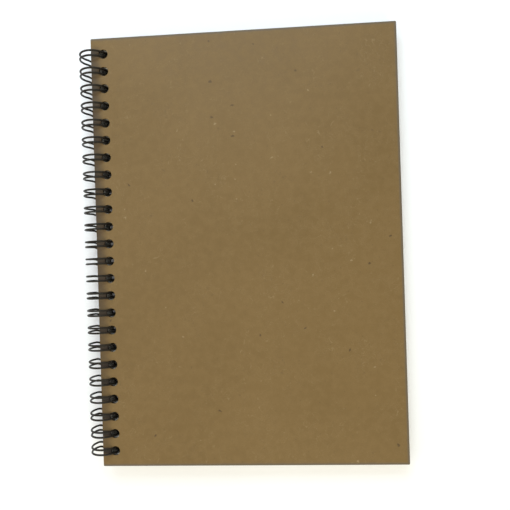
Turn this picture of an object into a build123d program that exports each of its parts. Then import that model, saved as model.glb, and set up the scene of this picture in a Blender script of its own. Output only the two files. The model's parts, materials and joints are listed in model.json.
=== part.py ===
from build123d import *
import math
import os

os.makedirs("parts", exist_ok=True)

# A wire-bound A5 sketchbook, lying closed on its back cover, in millimetres.
# X runs from the binding to the fore edge, Y along the spine and Z up. The origin is the middle of
# the closed book's box in X and Y, at the height of the lowest point of the wire.

# ---- driving dimensions ----------------------------------------------------------------------

# Leaves
page_width = 148.0
page_height = 210.0
sheet_count = 30
sheet_thickness = 0.18
sheet_pitch = 0.196
cover_thickness = 1.2
cover_gap = 0.05
cover_corner_radius = 0.6
sheet_corner_radius = 0.3

# Binding: 24 twin loops, three to the inch
loops_per_inch = 3
loop_count = 24
ring_radius = 6.7
wire_radius = 0.45
leg_spacing = 2.4
root_bend_radius = 0.9

# Holes, and the play between the spine edges and the axis that the leaves turn about
hole_radius = 2.2
hole_margin = 6.15
spine_play = 0.05

# The wire's seam lies underneath. Angles are about the ring's axis, from +X towards +Z.
root_angle = 280.0
nest_angle = 20.5

# ---- worked out from them --------------------------------------------------------------------

inch = 25.4
loop_pitch = inch / loops_per_inch
hole_positions = [(n - (loop_count - 1) / 2) * loop_pitch for n in range(loop_count)]

tip_angle = root_angle - nest_angle
tip_radius = leg_spacing / 2
leg_arc = 360.0 - nest_angle

# The ring's axis: the book is as wide as the ring's outside, the play and a page
ring_outside = ring_radius + wire_radius
book_width = ring_outside + spine_play + page_width
axis_x = ring_outside - book_width / 2
spine_edge_x = axis_x + spine_play
page_centre_x = spine_edge_x + page_width / 2
hole_x = spine_edge_x + hole_margin

# The lowest point of the wire is the end of a finger tip, and it is at Z = 0
tip_end_below_axis = -(
    ring_radius * math.sin(math.radians(tip_angle))
    + tip_radius * math.cos(math.radians(tip_angle))
)
axis_z = tip_end_below_axis + wire_radius

# The pile of leaves is centred on the ring's axis
pile_thickness = 2 * (cover_thickness + cover_gap) + sheet_count * sheet_pitch
back_cover_z = axis_z - pile_thickness / 2
front_cover_z = axis_z + pile_thickness / 2 - cover_thickness
lowest_sheet_z = back_cover_z + cover_thickness + cover_gap + (sheet_pitch - sheet_thickness) / 2

ring_axis = Axis((axis_x, 0, axis_z), (0, -1, 0))


def ring_point(angle, y):
    """The point of the ring's centreline circle at an angle, in the plane at y."""
    turn = math.radians(angle)
    return Vector(axis_x + ring_radius * math.cos(turn), y, axis_z + ring_radius * math.sin(turn))


def outward(angle):
    """The direction away from the ring's axis at an angle."""
    return Vector(math.cos(math.radians(angle)), 0, math.sin(math.radians(angle)))


def onward(angle):
    """The direction along the ring at an angle, the way that the angle grows."""
    return Vector(-math.sin(math.radians(angle)), 0, math.cos(math.radians(angle)))


def leaf_outline(corner_radius):
    """A page with its row of round holes along the spine edge, drawn in the sketch being built."""
    with Locations((page_centre_x, 0)):
        RectangleRounded(page_width, page_height, corner_radius)
    with Locations(*[(hole_x, y) for y in hole_positions]):
        Circle(hole_radius, mode=Mode.SUBTRACT)


# ---- covers ----------------------------------------------------------------------------------

with BuildPart() as front_cover:
    with BuildSketch(Plane.XY.offset(front_cover_z)):
        leaf_outline(cover_corner_radius)
    extrude(amount=cover_thickness)
front_cover.part.label = "front_cover"
export_step(front_cover.part, "parts/front_cover.step")

with BuildPart() as back_cover:
    with BuildSketch(Plane.XY.offset(back_cover_z)):
        leaf_outline(cover_corner_radius)
    extrude(amount=cover_thickness)
back_cover.part.label = "back_cover"
export_step(back_cover.part, "parts/back_cover.step")

# ---- drawing sheets, numbered from the front cover down --------------------------------------

for number in range(1, sheet_count + 1):
    sheet_z = lowest_sheet_z + (sheet_count - number) * sheet_pitch
    with BuildPart() as sheet:
        with BuildSketch(Plane.XY.offset(sheet_z)):
            leaf_outline(sheet_corner_radius)
        extrude(amount=sheet_thickness)
    sheet.part.label = f"sheet_{number:02d}"
    export_step(sheet.part, f"parts/sheet_{number:02d}.step")

# ---- binding wire ----------------------------------------------------------------------------

# One pitch of the wire. On each side of the loop: a leg round the ring, the bend at its root and a
# straight run to the middle of the gap to the next loop. The finger tip joins the two legs.
straight_run = (loop_pitch - leg_spacing) / 2 - root_bend_radius
across_root = outward(root_angle)
tip_start = ring_point(tip_angle, tip_radius)

with BuildPart() as loop:
    for side in (1, -1):
        leg_start = ring_point(root_angle, side * leg_spacing / 2)
        with BuildSketch(Plane(leg_start, x_dir=across_root, z_dir=onward(root_angle))) as leg_section:
            Circle(wire_radius)
        revolve(leg_section.sketch, axis=ring_axis, revolution_arc=leg_arc)
        bend_centre = leg_start + Vector(0, side * root_bend_radius, 0)
        revolve(leg_section.sketch, axis=Axis(bend_centre, across_root * side), revolution_arc=90)
        bend_end = bend_centre - onward(root_angle) * root_bend_radius
        with BuildSketch(Plane(bend_end, x_dir=across_root, z_dir=(0, side, 0))):
            Circle(wire_radius)
        extrude(amount=straight_run)
    with BuildSketch(Plane(tip_start, x_dir=outward(tip_angle), z_dir=onward(tip_angle))):
        Circle(wire_radius)
    revolve(axis=Axis(ring_point(tip_angle, 0), outward(tip_angle)), revolution_arc=180)

with BuildPart() as binding_wire:
    with Locations(*[(0, y, 0) for y in hole_positions]):
        add(loop.part)
binding_wire.part.label = "binding_wire"
export_step(binding_wire.part, "parts/binding_wire.step")

# The wire's volume against its section times its length
turn_lengths = math.radians(leg_arc) * ring_radius + math.pi / 2 * (tip_radius + root_bend_radius)
wire_length = 2 * loop_count * (turn_lengths + straight_run)
wire_section = math.pi * wire_radius**2
print(f"wire {wire_length:.1f} mm, volume {binding_wire.part.volume:.2f} of {wire_length * wire_section:.2f}")
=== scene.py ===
"""A wire-bound A5 sketchbook: brown board covers, drawing sheets and a black twin-loop wire."""

import json
import math
import random

import bpy
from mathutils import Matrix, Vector
from mathutils.geometry import tessellate_polygon


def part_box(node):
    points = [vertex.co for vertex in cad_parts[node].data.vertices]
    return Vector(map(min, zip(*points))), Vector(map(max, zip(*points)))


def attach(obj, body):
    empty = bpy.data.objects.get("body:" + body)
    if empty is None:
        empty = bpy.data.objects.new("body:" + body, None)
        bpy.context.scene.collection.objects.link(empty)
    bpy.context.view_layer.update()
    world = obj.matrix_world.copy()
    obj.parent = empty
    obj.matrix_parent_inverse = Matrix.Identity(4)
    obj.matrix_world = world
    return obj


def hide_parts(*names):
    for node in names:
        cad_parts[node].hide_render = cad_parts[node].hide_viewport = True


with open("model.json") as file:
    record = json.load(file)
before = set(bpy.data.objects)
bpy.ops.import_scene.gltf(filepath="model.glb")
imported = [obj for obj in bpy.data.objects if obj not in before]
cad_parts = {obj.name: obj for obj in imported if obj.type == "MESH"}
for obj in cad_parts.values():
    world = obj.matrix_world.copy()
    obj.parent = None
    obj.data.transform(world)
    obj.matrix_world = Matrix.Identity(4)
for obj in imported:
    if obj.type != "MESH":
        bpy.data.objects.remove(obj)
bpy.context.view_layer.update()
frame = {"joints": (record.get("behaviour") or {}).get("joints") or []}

# ---- sizes, in metres and degrees ----------------------------------------------------------------

MM = 0.001
SHEET_COUNT = 30
LOOP_COUNT = 24
LOOP_PITCH = 25.4 / 3 * MM
HOLE_RADIUS = 2.2 * MM
HOLE_MARGIN = 6.15 * MM
HOLE_SHIFT = -0.11 * MM

COVER_CORNER_RADIUS = 0.6 * MM
COVER_ARRIS = 0.14 * MM
COVER_HOLE_SEGMENTS = 40
SHEET_CORNER_RADIUS = 0.3 * MM
SHEET_ARRIS = 0.03 * MM
SHEET_HOLE_SEGMENTS = 28
SHEET_SLIP_X = 0.10 * MM
SHEET_SLIP_Y = 0.05 * MM
SHEET_TRIM = (0.08 * MM, 0.22 * MM)
SHEET_SEED = 5
ARRIS_STEPS = 2

# Angles round a ring start at the fore edge's side and go up and over. A finger runs from its root
# under the back cover, through the pile, to its tip, so they go on past 360.
WIRE_RADIUS = 0.45 * MM
COATED_RADIUS = 0.48 * MM
LEG_SPACING = 2.4 * MM
ROOT_BEND_RADIUS = 0.9 * MM
ROOT_ANGLE = 280.0
TIP_ANGLE = 255.5 + 360
HUNG_DRIFT = -0.19 * MM
HUNG_FROM, HUNG_TO = 430, 520
TIP_DRIFT = -1.3 * MM
TIP_FROM = 580
TIP_DRIFT_SPREAD = 0.12
RING_SHIFT = 0.02 * MM
RING_SHRINK = 0.03 * MM
WIRE_SIDES = 16
WIRE_SEED = 11

COVERS = ("front_cover", "back_cover")
SHEETS = [f"sheet_{number:02d}" for number in range(1, SHEET_COUNT + 1)]

wire_low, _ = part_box("binding_wire")
cover_low, cover_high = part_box("front_cover")
back_low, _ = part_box("back_cover")
turn = next(joint for joint in frame["joints"] if joint["name"] == "wire_turn")
axis_x, _, axis_z = turn["pos_m"]
RING_RADIUS = axis_x - wire_low.x - WIRE_RADIUS
spine_x = cover_low.x
fore_x = cover_high.x
head_y = cover_high.y
hole_x = spine_x + HOLE_MARGIN
loop_ys = [(n - (LOOP_COUNT - 1) / 2) * LOOP_PITCH for n in range(LOOP_COUNT)]


# ---- node helpers --------------------------------------------------------------------------------


class Shader:
    """A small layer over one material's node tree, so that each material reads as a recipe."""

    def __init__(self, name):
        self.material = bpy.data.materials.new(name)
        self.material.use_nodes = True
        self.nodes = self.material.node_tree.nodes
        self.links = self.material.node_tree.links
        self.bsdf = self.nodes["Principled BSDF"]
        self.object_place = self.nodes.new("ShaderNodeTexCoord").outputs["Object"]

    def put(self, socket, value):
        """Links a socket's output to an input, or sets the input to a plain value."""
        if isinstance(value, bpy.types.NodeSocket):
            self.links.new(value, socket)
        else:
            socket.default_value = value

    def node(self, kind, settings=None, **inputs):
        """A node of a kind, with its settings and its inputs, whose names have _ for a space."""
        made = self.nodes.new(kind)
        for key, value in (settings or {}).items():
            setattr(made, key, value)
        for key, value in inputs.items():
            self.put(made.inputs[key.replace("_", " ")], value)
        return made

    def math(self, operation, *values):
        """A calculation on one or two values, each a socket or a number."""
        made = self.nodes.new("ShaderNodeMath")
        made.operation = operation
        for socket, value in zip(made.inputs, values):
            self.put(socket, value)
        return made.outputs[0]

    def place(self, scale=(1, 1, 1), shift=(0, 0, 0)):
        """The object's own coordinates, scaled and shifted."""
        made = self.node("ShaderNodeMapping", Vector=self.object_place)
        made.inputs["Scale"].default_value = scale
        made.inputs["Location"].default_value = shift
        return made.outputs["Vector"]

    def noise(self, place, scale, detail=2.0, roughness=0.5, distortion=0.0):
        """Fractal noise from 0 to 1, with scale lumps to the metre."""
        made = self.node("ShaderNodeTexNoise", Vector=place, Scale=scale, Detail=detail)
        made.inputs["Roughness"].default_value = roughness
        made.inputs["Distortion"].default_value = distortion
        return made.outputs["Fac"]

    def between(self, value, low, high, out_low=0.0, out_high=1.0):
        """A smooth step of a value, from out_low at low to out_high at high."""
        made = self.node("ShaderNodeMapRange", {"interpolation_type": "SMOOTHSTEP"}, Value=value)
        ends = {"From Min": low, "From Max": high, "To Min": out_low, "To Max": out_high}
        for key, number in ends.items():
            made.inputs[key].default_value = number
        return made.outputs["Result"]

    def mix(self, amount, first, second):
        """A mix of two colours, each a socket or an RGB triple.

        The node repeats its inputs and outputs for each data type, so the colours go by number.
        """
        made = self.node("ShaderNodeMix", {"data_type": "RGBA"})
        for key, value in ((0, amount), (6, first), (7, second)):
            self.put(made.inputs[key], (*value, 1.0) if isinstance(value, tuple) else value)
        return made.outputs[2]

    def parts(self, vector):
        """The X, Y and Z of a vector."""
        made = self.node("ShaderNodeSeparateXYZ", Vector=vector)
        return [made.outputs[axis] for axis in "XYZ"]

    def fibres(self, place, scale, width, mask_scale, mask_from):
        """Short curled hairs: thin contour lines of one noise, kept where a second one is high."""
        hills = self.noise(place, scale, 1.0, distortion=0.6)
        line = self.math("ABSOLUTE", self.math("SUBTRACT", hills, 0.5))
        mask = self.between(self.noise(place, mask_scale, 1.0), mask_from, mask_from + 0.06)
        return self.math("MULTIPLY", self.between(line, width, 0.0), mask)

    def specks(self, place, scale, radius, share, dimensions="2D"):
        """Scattered ragged dots, in a share of a Voronoi pattern's cells."""
        bent = self.node("ShaderNodeTexNoise", Vector=place, Scale=scale * 4, Detail=2.0)
        pushed = self.node("ShaderNodeVectorMath", {"operation": "SCALE"}, Scale=0.35 / scale)
        self.links.new(bent.outputs["Color"], pushed.inputs[0])
        ragged = self.node("ShaderNodeVectorMath", {"operation": "ADD"})
        self.put(ragged.inputs[0], place)
        self.put(ragged.inputs[1], pushed.outputs[0])
        settings = {"voronoi_dimensions": dimensions}
        cells = self.node("ShaderNodeTexVoronoi", settings, Vector=ragged.outputs[0], Scale=scale)
        chosen = self.math("LESS_THAN", self.parts(cells.outputs["Color"])[0], share)
        dots = self.between(cells.outputs["Distance"], radius, radius * 0.4)
        return self.math("MULTIPLY", dots, chosen)

    def bump(self, height, distance, strength):
        """Relief from a height of 0 to 1, over a distance in metres."""
        made = self.node("ShaderNodeBump", Height=height, Distance=distance, Strength=strength)
        self.links.new(made.outputs["Normal"], self.bsdf.inputs["Normal"])


# ---- materials -----------------------------------------------------------------------------------


def pulp(s, place, colour):
    """Hairs and flecks of recycled pulp over a colour. Gives the new colour and the hairs' height."""
    pale_hairs = s.fibres(place, 260, 0.009, 60, 0.50)
    fine_hairs = s.fibres(s.place(shift=(3.1, 1.7, 0.4)), 640, 0.014, 110, 0.48)
    dark_hairs = s.fibres(s.place(shift=(7.3, 2.9, 1.1)), 280, 0.008, 75, 0.56)
    colour = s.mix(s.math("MULTIPLY", pale_hairs, 0.30), colour, (0.34, 0.25, 0.12))
    colour = s.mix(s.math("MULTIPLY", fine_hairs, 0.25), colour, (0.31, 0.225, 0.11))
    colour = s.mix(s.math("MULTIPLY", dark_hairs, 0.40), colour, (0.090, 0.055, 0.022))

    dark_flecks = s.specks(place, 95, 0.080, 0.08)
    pale_flecks = s.specks(s.place(shift=(5.0, 9.0, 2.0)), 110, 0.065, 0.08)
    tiny_flecks = s.specks(s.place(shift=(1.0, 4.0, 6.0)), 330, 0.11, 0.12)
    colour = s.mix(s.math("MULTIPLY", tiny_flecks, 0.40), colour, (0.100, 0.060, 0.022))
    colour = s.mix(s.math("MULTIPLY", pale_flecks, 0.42), colour, (0.40, 0.31, 0.17))
    colour = s.mix(s.math("MULTIPLY", dark_flecks, 0.66), colour, (0.050, 0.027, 0.010))
    return colour, s.math("ADD", pale_hairs, fine_hairs)


def grey_edge_rim(s, mottle, colour):
    """A darker, greyer rim along the three free edges of a cover."""
    x, y, _ = s.parts(s.object_place)
    from_end = s.math("SUBTRACT", head_y, s.math("ABSOLUTE", y))
    inside = s.math("MINIMUM", s.math("SUBTRACT", fore_x, x), from_end)
    ragged_inside = s.math("ADD", inside, s.math("MULTIPLY", mottle, 0.6 * MM))
    rim = s.between(ragged_inside, 1.80 * MM, 0.80 * MM)
    return s.mix(s.math("MULTIPLY", rim, 0.70), colour, (0.112, 0.095, 0.068))


def wire_painted_shade(s, mottle, colour):
    """Painted shade from the wire on a cover: a darker strip along the spine, darker towards the head,
    and a painted shadow between each pair of legs, heavier towards the tail."""
    x, y, _ = s.parts(s.object_place)
    from_spine = s.math("SUBTRACT", x, spine_x)
    by_the_wire = s.between(s.math("ABSOLUTE", y), head_y - 3.5 * MM, head_y - 6.5 * MM)
    # painted shade: a darker strip from the holes to the spine edge, where the rings shade the cover
    painted_shade = s.math("MULTIPLY", s.between(from_spine, 6.4 * MM, 0.2 * MM), by_the_wire)
    painted_shade = s.math("MULTIPLY", painted_shade, s.between(mottle, 0.2, 0.8, 0.75, 1.0))
    painted_shade = s.math("MULTIPLY", painted_shade, s.between(y, -0.7 * head_y, 0.1 * head_y, 0.33, 0.84))
    colour = s.mix(painted_shade, colour, (0.068, 0.045, 0.026))

    in_pitch = s.math("FRACT", s.math("DIVIDE", y, LOOP_PITCH))
    from_loop = s.math("MULTIPLY", s.math("ABSOLUTE", s.math("SUBTRACT", in_pitch, 0.5)), LOOP_PITCH)
    ragged_loop = s.math("ADD", from_loop, s.math("MULTIPLY", mottle, 0.8 * MM))
    to_hole = s.between(from_spine, HOLE_MARGIN + 0.5 * MM, HOLE_MARGIN - 0.5 * MM)
    # painted shadow: a near-black patch between each pair of legs, where the legs shade the cover
    leg_painted_shadow = s.math("MULTIPLY", s.between(ragged_loop, 2.5 * MM, 1.2 * MM), by_the_wire)
    leg_painted_shadow = s.math("MULTIPLY", leg_painted_shadow, to_hole)
    leg_painted_shadow = s.math("MULTIPLY", leg_painted_shadow, s.between(y, 0.4 * head_y, -0.7 * head_y, 0.52, 0.96))
    return s.mix(leg_painted_shadow, colour, (0.026, 0.017, 0.011))


def kraft_face(name, shift):
    """The brown liner of a cover: soft clouding, pulp, a darker greyer rim and the wire's painted
    shade.
    """
    s = Shader(name)
    place = s.place(shift=shift)
    clouds = s.noise(place, 22, 3.0, 0.55)
    mottle = s.noise(place, 260, 3.0, 0.6)
    grain = s.noise(place, 2600, 2.0, 0.6)
    colour = s.mix(s.between(clouds, 0.3, 0.7), (0.176, 0.104, 0.027), (0.194, 0.116, 0.033))
    colour = s.mix(s.between(mottle, 0.35, 0.7, 0.0, 0.30), colour, (0.245, 0.156, 0.058))
    colour = s.mix(s.between(grain, 0.4, 0.75, 0.0, 0.34), colour, (0.132, 0.079, 0.022))
    colour, hairs = pulp(s, place, colour)
    # a darker rim, then the wire's painted shade and painted shadow
    colour = wire_painted_shade(s, mottle, grey_edge_rim(s, mottle, colour))

    s.put(s.bsdf.inputs["Base Color"], colour)
    s.put(s.bsdf.inputs["Roughness"], s.between(mottle, 0.2, 0.8, 0.48, 0.62))
    s.bsdf.inputs["Specular IOR Level"].default_value = 0.38
    relief = s.math("ADD", s.math("MULTIPLY", grain, 0.5), s.math("MULTIPLY", mottle, 0.6))
    s.bump(s.math("ADD", relief, s.math("MULTIPLY", hairs, 0.5)), 0.05 * MM, 0.55)
    return s.material


def board_edge(name):
    """The cut edge of a cover, where the greyer plies of the board show between its brown liners."""
    s = Shader(name)
    plies = s.noise(s.place(scale=(1, 1, 9)), 700, 4.0, 0.7)
    crumbs = s.noise(s.place(), 1900, 3.0, 0.6)
    colour = s.mix(s.between(plies, 0.25, 0.75), (0.140, 0.108, 0.070), (0.225, 0.180, 0.120))
    colour = s.mix(s.between(crumbs, 0.5, 0.8, 0.0, 0.5), colour, (0.28, 0.23, 0.16))
    s.put(s.bsdf.inputs["Base Color"], colour)
    s.bsdf.inputs["Roughness"].default_value = 0.9
    s.bsdf.inputs["Specular IOR Level"].default_value = 0.25
    s.bump(s.math("ADD", plies, crumbs), 0.08 * MM, 0.7)
    return s.material


def shaded_hole_wall(name, lighter_shade, painted_shade):
    """The wall of a punched hole: pressed smooth, and coloured near black as painted shade inside the
    hole.
    """
    s = Shader(name)
    shade_patches = s.noise(s.place(scale=(1, 1, 3)), 700, 3.0, 0.6)
    # both colours are painted shade: the wall is darkened as if deep in shadow
    s.put(s.bsdf.inputs["Base Color"], s.mix(s.between(shade_patches, 0.25, 0.6), lighter_shade, painted_shade))
    s.put(s.bsdf.inputs["Roughness"], s.between(shade_patches, 0.2, 0.8, 0.9, 0.7))
    s.bsdf.inputs["Specular IOR Level"].default_value = 0.2
    s.bump(shade_patches, 0.04 * MM, 0.5)
    return s.material


def paper_face(name):
    """Off-white drawing paper with a fine tooth and a faint cloudy formation."""
    s = Shader(name)
    place = s.place()
    clouds = s.noise(place, 140, 3.0, 0.6)
    tooth = s.noise(place, 3200, 3.0, 0.7)
    weave = s.noise(place, 900, 2.0, 0.6)
    hairs = s.fibres(place, 330, 0.012, 70, 0.58)
    colour = s.mix(s.between(clouds, 0.3, 0.7), (0.722, 0.694, 0.612), (0.742, 0.716, 0.638))
    colour = s.mix(s.between(tooth, 0.45, 0.75, 0.0, 0.30), colour, (0.640, 0.610, 0.530))
    colour = s.mix(s.math("MULTIPLY", hairs, 0.30), colour, (0.56, 0.52, 0.44))
    s.put(s.bsdf.inputs["Base Color"], colour)
    s.put(s.bsdf.inputs["Roughness"], s.between(tooth, 0.2, 0.8, 0.80, 0.92))
    s.bsdf.inputs["Specular IOR Level"].default_value = 0.3
    s.bump(s.math("ADD", tooth, weave), 0.04 * MM, 0.6)
    return s.material


def paper_edge(name, sheet_pitch):
    """The guillotined edges of the sheets: each sheet its own shade, with fine cutting marks."""
    s = Shader(name)
    by_sheet = s.noise(s.place(scale=(2, 2, 1 / sheet_pitch)), 1.0, 0.0)
    marks = s.noise(s.place(scale=(900, 900, 60)), 1.0, 2.0)
    colour = s.mix(s.between(by_sheet, 0.3, 0.7), (0.500, 0.472, 0.400), (0.740, 0.714, 0.636))
    colour = s.mix(s.between(marks, 0.45, 0.8, 0.0, 0.4), colour, (0.50, 0.475, 0.41))
    s.put(s.bsdf.inputs["Base Color"], colour)
    s.bsdf.inputs["Roughness"].default_value = 0.92
    s.bsdf.inputs["Specular IOR Level"].default_value = 0.2
    s.bump(marks, 0.03 * MM, 0.6)
    return s.material


def coated_wire(name):
    """Warm black nylon-coated steel wire: satin, with a fine orange peel and dull rubbed patches."""
    s = Shader(name)
    place = s.place()
    peel = s.noise(place, 1800, 2.0, 0.5)
    rubs = s.noise(place, 160, 3.0, 0.6)
    dust = s.specks(place, 900, 0.13, 0.05, "3D")
    colour = s.mix(s.between(rubs, 0.35, 0.75), (0.0085, 0.0066, 0.0046), (0.0185, 0.0148, 0.0102))
    colour = s.mix(s.math("MULTIPLY", dust, 0.35), colour, (0.10, 0.095, 0.085))
    s.put(s.bsdf.inputs["Base Color"], colour)
    s.put(s.bsdf.inputs["Roughness"], s.between(rubs, 0.3, 0.75, 0.32, 0.50))
    s.bsdf.inputs["Specular IOR Level"].default_value = 0.28
    s.bsdf.inputs["Specular Tint"].default_value = (1.0, 0.90, 0.76, 1.0)
    s.bump(peel, 0.02 * MM, 0.25)
    return s.material


def bare_steel(name):
    """The sheared ends of the wire, where the steel shows."""
    s = Shader(name)
    shear = s.noise(s.place(scale=(1, 1, 6)), 2500, 3.0, 0.6)
    colour = s.mix(s.between(shear, 0.3, 0.7), (0.30, 0.30, 0.31), (0.52, 0.52, 0.54))
    s.put(s.bsdf.inputs["Base Color"], colour)
    s.put(s.bsdf.inputs["Roughness"], s.between(shear, 0.2, 0.8, 0.30, 0.50))
    s.bsdf.inputs["Metallic"].default_value = 1.0
    s.bump(shear, 0.02 * MM, 0.5)
    return s.material


def studio_floor(name):
    """A matt pale table top, lifted a little so that it reads as white."""
    s = Shader(name)
    cloud = s.noise(s.place(), 9, 2.0)
    colour = s.mix(s.between(cloud, 0.3, 0.7), (0.945, 0.945, 0.94), (0.965, 0.965, 0.96))
    s.put(s.bsdf.inputs["Base Color"], colour)
    s.bsdf.inputs["Roughness"].default_value = 0.95
    s.bsdf.inputs["Specular IOR Level"].default_value = 0.1
    s.bsdf.inputs["Emission Color"].default_value = (1.0, 1.0, 1.0, 1.0)
    s.bsdf.inputs["Emission Strength"].default_value = 0.04
    return s.material


# ---- meshes --------------------------------------------------------------------------------------


def new_object(name, points, faces, slots, smooth=None):
    """A mesh object. faces is a list of (corner numbers, material number)."""
    mesh = bpy.data.meshes.new(name)
    mesh.from_pydata(points, [], [corners for corners, _ in faces])
    for material in slots:
        mesh.materials.append(material)
    for polygon, (_, number) in zip(mesh.polygons, faces):
        polygon.material_index = number
        polygon.use_smooth = smooth is not None and smooth(number)
    mesh.update()
    made = bpy.data.objects.new(name, mesh)
    bpy.context.scene.collection.objects.link(made)
    return made


def rounded_outline(low_x, high_x, low_y, high_y, radius, inset, steps=6):
    """The corners of a page's outline, anticlockwise, each corner an arc, drawn in by the inset."""
    centres = (
        (high_x - radius, high_y - radius),
        (low_x + radius, high_y - radius),
        (low_x + radius, low_y + radius),
        (high_x - radius, low_y + radius),
    )
    return [
        (x + (radius - inset) * math.cos(math.radians(90 * quarter + 90 * step / steps)),
         y + (radius - inset) * math.sin(math.radians(90 * quarter + 90 * step / steps)))
        for quarter, (x, y) in enumerate(centres)
        for step in range(steps + 1)
    ]


def circle(x, y, radius, segments):
    """The corners of a hole, clockwise, so that its wall faces into the hole."""
    turns = [-2 * math.pi * n / segments for n in range(segments)]
    return [(x + radius * math.cos(t), y + radius * math.sin(t)) for t in turns]


def leaf(name, low, high, corner_radius, holes, segments, slots, arris):
    """A flat leaf between two corners of its box, with rounded arrises along its edges and holes.

    holes is a list of (x, y). slots are the materials of the faces, the outside and the holes' walls.
    """

    def loops_at(inset):
        """The outline and the holes' edges, drawn back into the leaf by the inset."""
        outline = rounded_outline(low.x, high.x, low.y, high.y, corner_radius, inset)
        return [outline, *(circle(x, y, HOLE_RADIUS + inset, segments) for x, y in holes)]

    turns = [math.pi / 2 * step / ARRIS_STEPS for step in range(ARRIS_STEPS + 1)]
    rounding = [(arris * (1 - math.cos(t)), arris * (1 - math.sin(t))) for t in turns]
    levels = [(inset, low.z + depth) for inset, depth in reversed(rounding)]
    levels += [(inset, high.z - depth) for inset, depth in rounding]
    points = [(x, y, z) for inset, z in levels for loop in loops_at(inset) for x, y in loop]

    face_loops = loops_at(arris)
    flat = [point for loop in face_loops for point in loop]
    count = len(flat)
    top = count * (len(levels) - 1)
    faces = []
    for a, b, c in tessellate_polygon([[Vector((x, y, 0)) for x, y in loop] for loop in face_loops]):
        (ax, ay), (bx, by), (cx, cy) = flat[a], flat[b], flat[c]
        if (bx - ax) * (cy - ay) - (by - ay) * (cx - ax) < 0:
            b, c = c, b
        faces.append(((a + top, b + top, c + top), 0))
        faces.append(((a, c, b), 0))
    start = 0
    for number, loop in enumerate(face_loops):
        for level in range(len(levels) - 1):
            material = min(number + 1, 2) if level == ARRIS_STEPS else 0
            first = level * count + start
            for n in range(len(loop)):
                here, after = first + n, first + (n + 1) % len(loop)
                faces.append(((here, after, after + count, here + count), material))
        start += len(loop)
    made = new_object(name, points, faces, slots)
    for polygon in made.data.polygons:
        polygon.use_smooth = abs(polygon.normal.z) < 0.999
    return made


def wire_path(rng):
    """The wire's centreline as (place, outward direction), from one cut end to the other.

    Each pitch runs along Y, bends into a leg, goes round the ring, turns back in the finger tip and
    comes home the same way. Loops differ a little, as on a wire closed by a press, and each finger
    leans towards the tail: a little where opened leaves hang on it, and more from there to its tip.
    HOLE_SHIFT is about half of that little lean, so that leaves clear the fingers closed and opened.
    """

    def outward(angle):
        return Vector((math.cos(math.radians(angle)), 0, math.sin(math.radians(angle))))

    def onward(angle):
        return Vector((-math.sin(math.radians(angle)), 0, math.cos(math.radians(angle))))

    def smooth_step(value, low, high):
        t = min(max((value - low) / (high - low), 0), 1)
        return t * t * (3 - 2 * t)

    def drift(angle, tip_drift):
        """How far a finger has slid along the spine at an angle round the ring."""
        hung = HUNG_DRIFT * smooth_step(angle, HUNG_FROM, HUNG_TO)
        return hung + (tip_drift - HUNG_DRIFT) * smooth_step(angle, TIP_FROM, TIP_ANGLE)

    axis = Vector((axis_x, 0, axis_z))
    half = LEG_SPACING / 2
    leg_steps, bend_steps, tip_steps = 56, 8, 14
    path = []
    for loop_y in loop_ys:
        middle = axis + Vector((0, loop_y + rng.uniform(-RING_SHIFT, RING_SHIFT), 0))
        radius = RING_RADIUS + WIRE_RADIUS - COATED_RADIUS - rng.uniform(0.0, RING_SHRINK)
        tip_drift = TIP_DRIFT * rng.uniform(1 - TIP_DRIFT_SPREAD, 1 + TIP_DRIFT_SPREAD)
        root, tip = outward(ROOT_ANGLE), outward(TIP_ANGLE)
        back = -onward(ROOT_ANGLE)
        if not path:
            cut_end = axis + root * radius + back * ROOT_BEND_RADIUS
            cut_end.y = loop_y - LOOP_PITCH / 2
            path.append((cut_end, root))
        for side in (-1, 1):
            bend = []
            centre = middle + root * radius + Vector((0, side * (half + ROOT_BEND_RADIUS), 0))
            for step in range(bend_steps + 1):
                t = math.pi / 2 * step / bend_steps
                place = centre + back * ROOT_BEND_RADIUS * math.cos(t)
                place.y -= side * ROOT_BEND_RADIUS * math.sin(t)
                bend.append((place, root))
            leg = []
            for step in range(1, leg_steps + 1):
                angle = ROOT_ANGLE + (TIP_ANGLE - ROOT_ANGLE) * step / leg_steps
                place = middle + outward(angle) * radius
                place.y += side * half + drift(angle, tip_drift)
                leg.append((place, outward(angle)))
            run = bend + leg
            if side < 0:
                path += run
                for step in range(1, tip_steps):
                    t = math.pi * step / tip_steps
                    place = middle + tip * radius + onward(TIP_ANGLE) * half * math.sin(t)
                    place.y += tip_drift - half * math.cos(t)
                    path.append((place, tip))
            else:
                path += run[::-1]
    last, root = path[-1]
    path.append((Vector((last.x, loop_ys[-1] + LOOP_PITCH / 2, last.z)), root))
    return path


def wire_mesh(name, coat, steel):
    """A round tube along the wire's path, with a flat sheared face at each end."""
    path = wire_path(random.Random(WIRE_SEED))
    sides = WIRE_SIDES
    points, faces = [], []
    for n, (place, out) in enumerate(path):
        before, after = path[max(n - 1, 0)][0], path[min(n + 1, len(path) - 1)][0]
        along = (after - before).normalized()
        across = along.cross(out).normalized()
        up = across.cross(along)
        for side in range(sides):
            t = 2 * math.pi * side / sides
            points.append(place + (across * math.cos(t) + up * math.sin(t)) * COATED_RADIUS)
    for n in range(len(path) - 1):
        for side in range(sides):
            beside = (side + 1) % sides
            a, b = n * sides + side, n * sides + beside
            faces.append(((a, a + sides, b + sides, b), 0))
    faces.append((tuple(range(sides)), 1))
    last = (len(path) - 1) * sides
    faces.append((tuple(range(last, last + sides))[::-1], 1))
    return new_object(name, points, faces, (coat, steel), smooth=lambda number: number == 0)


# ---- the object ----------------------------------------------------------------------------------

edge_material = board_edge("board_cut_edge")
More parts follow.
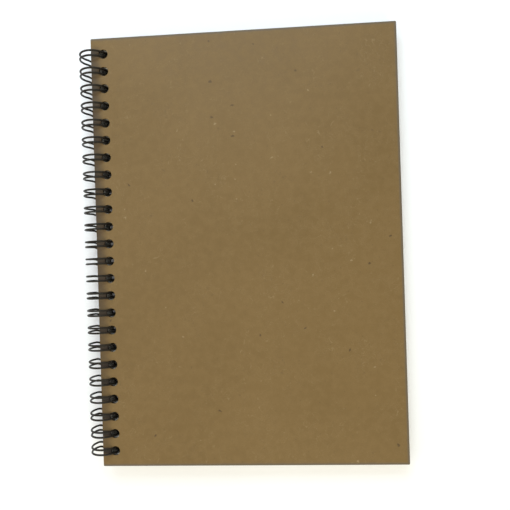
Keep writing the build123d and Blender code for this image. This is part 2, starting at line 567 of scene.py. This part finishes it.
# the board's hole walls are near black: painted shade inside the holes
wall_material = shaded_hole_wall("board_hole_wall_shade", (0.060, 0.048, 0.034), (0.016, 0.013, 0.011))
for number, name in enumerate(COVERS):
    low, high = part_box(name)
    face_material = kraft_face(f"kraft_{name}", (0.37 * number, 0.81 * number, 0))
    shift = HOLE_SHIFT if name == "front_cover" else 0.0
    holes = [(hole_x, y + shift) for y in loop_ys]
    slots = (face_material, edge_material, wall_material)
    cover = leaf(
        f"{name}_board", low, high, COVER_CORNER_RADIUS, holes, COVER_HOLE_SEGMENTS, slots, COVER_ARRIS
    )
    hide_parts(name)
    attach(cover, name)

sheet_rng = random.Random(SHEET_SEED)
sheet_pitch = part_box(SHEETS[0])[0].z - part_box(SHEETS[1])[0].z
face_material = paper_face("drawing_paper_face")
edge_material = paper_edge("drawing_paper_edge", sheet_pitch)
# the paper's hole walls are near black: painted shade inside the holes
wall_material = shaded_hole_wall("paper_hole_wall_shade", (0.110, 0.100, 0.085), (0.026, 0.023, 0.020))
for name in SHEETS:
    low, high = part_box(name)
    slip_x = sheet_rng.uniform(-SHEET_SLIP_X, 0.0)
    slip_y = sheet_rng.uniform(-SHEET_SLIP_Y, SHEET_SLIP_Y)
    trim = sheet_rng.uniform(*SHEET_TRIM)
    low += Vector((slip_x + trim, slip_y + trim, 0))
    high += Vector((slip_x - trim, slip_y - trim, 0))
    holes = [(hole_x + slip_x, y + slip_y + HOLE_SHIFT) for y in loop_ys]
    slots = (face_material, edge_material, wall_material)
    sheet = leaf(
        f"{name}_paper", low, high, SHEET_CORNER_RADIUS, holes, SHEET_HOLE_SEGMENTS, slots, SHEET_ARRIS
    )
    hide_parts(name)
    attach(sheet, name)

wire = wire_mesh("twin_loop_wire", coated_wire("black_coated_wire"), bare_steel("sheared_steel"))
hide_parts("binding_wire")
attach(wire, "binding_wire")

# ---- floor, light and camera ---------------------------------------------------------------------

# The book rests on the bottom of the wire and on the back cover's fore edge, so the table top, which
# is level in the room, leans by about a degree in the book's own frame.
FLOOR_HALF = 1.5
lean = (back_low.z - wire_low.z) / (fore_x - axis_x)
floor_corners = [(x * FLOOR_HALF, y * FLOOR_HALF) for x, y in ((-1, -1), (1, -1), (1, 1), (-1, 1))]
floor_points = [(x, y, wire_low.z + (x - axis_x) * lean) for x, y in floor_corners]
floor = new_object("table_top", floor_points, [((0, 1, 2, 3), 0)], (studio_floor("white_table"),))


def soft_box(name, place, target, width, height, power, colour):
    """A rectangular studio light at a place, facing a target."""
    light = bpy.data.lights.new(name, "AREA")
    light.shape = "RECTANGLE"
    light.size, light.size_y = width, height
    light.energy = power
    light.color = colour
    made = bpy.data.objects.new(name, light)
    made.location = place
    made.rotation_euler = (Vector(target) - Vector(place)).to_track_quat("-Z", "Y").to_euler()
    bpy.context.scene.collection.objects.link(made)


soft_box("key_light", (-0.45, -0.15, 0.95), (0, 0, 0), 0.8, 0.8, 1.5, (1.0, 0.98, 0.94))
soft_box("window_light", (-0.05, 0.42, 0.42), (0, 0, 0), 0.35, 0.25, 1.6, (0.66, 0.83, 1.0))
soft_box("tail_light", (0.10, -0.60, 0.45), (0, 0, 0), 0.5, 0.3, 1.8, (1.0, 0.90, 0.56))
soft_box("spine_light", (-0.50, 0.0, 0.42), (axis_x, 0, 0), 0.15, 0.6, 0.4, (1.0, 1.0, 1.0))

world = bpy.data.worlds.new("studio")
world.use_nodes = True
world.node_tree.nodes["Background"].inputs["Color"].default_value = (1.0, 1.0, 1.0, 1.0)
world.node_tree.nodes["Background"].inputs["Strength"].default_value = 0.60
bpy.context.scene.world = world

CAMERA_PLACE = (0.0214, -0.0037, 0.2413)
CAMERA_TURN = (-0.091, 3.510, -1.812)
CAMERA_LENS = 33.76
lens = bpy.data.cameras.new("camera")
lens.lens = CAMERA_LENS
lens.sensor_width = 36.0
lens.clip_start = 0.01
camera = bpy.data.objects.new("camera", lens)
camera.location = CAMERA_PLACE
camera.rotation_euler = [math.radians(angle) for angle in CAMERA_TURN]
bpy.context.scene.collection.objects.link(camera)
bpy.context.scene.camera = camera

bpy.context.scene.view_settings.view_transform = "Standard"
bpy.context.scene.view_settings.look = "None"
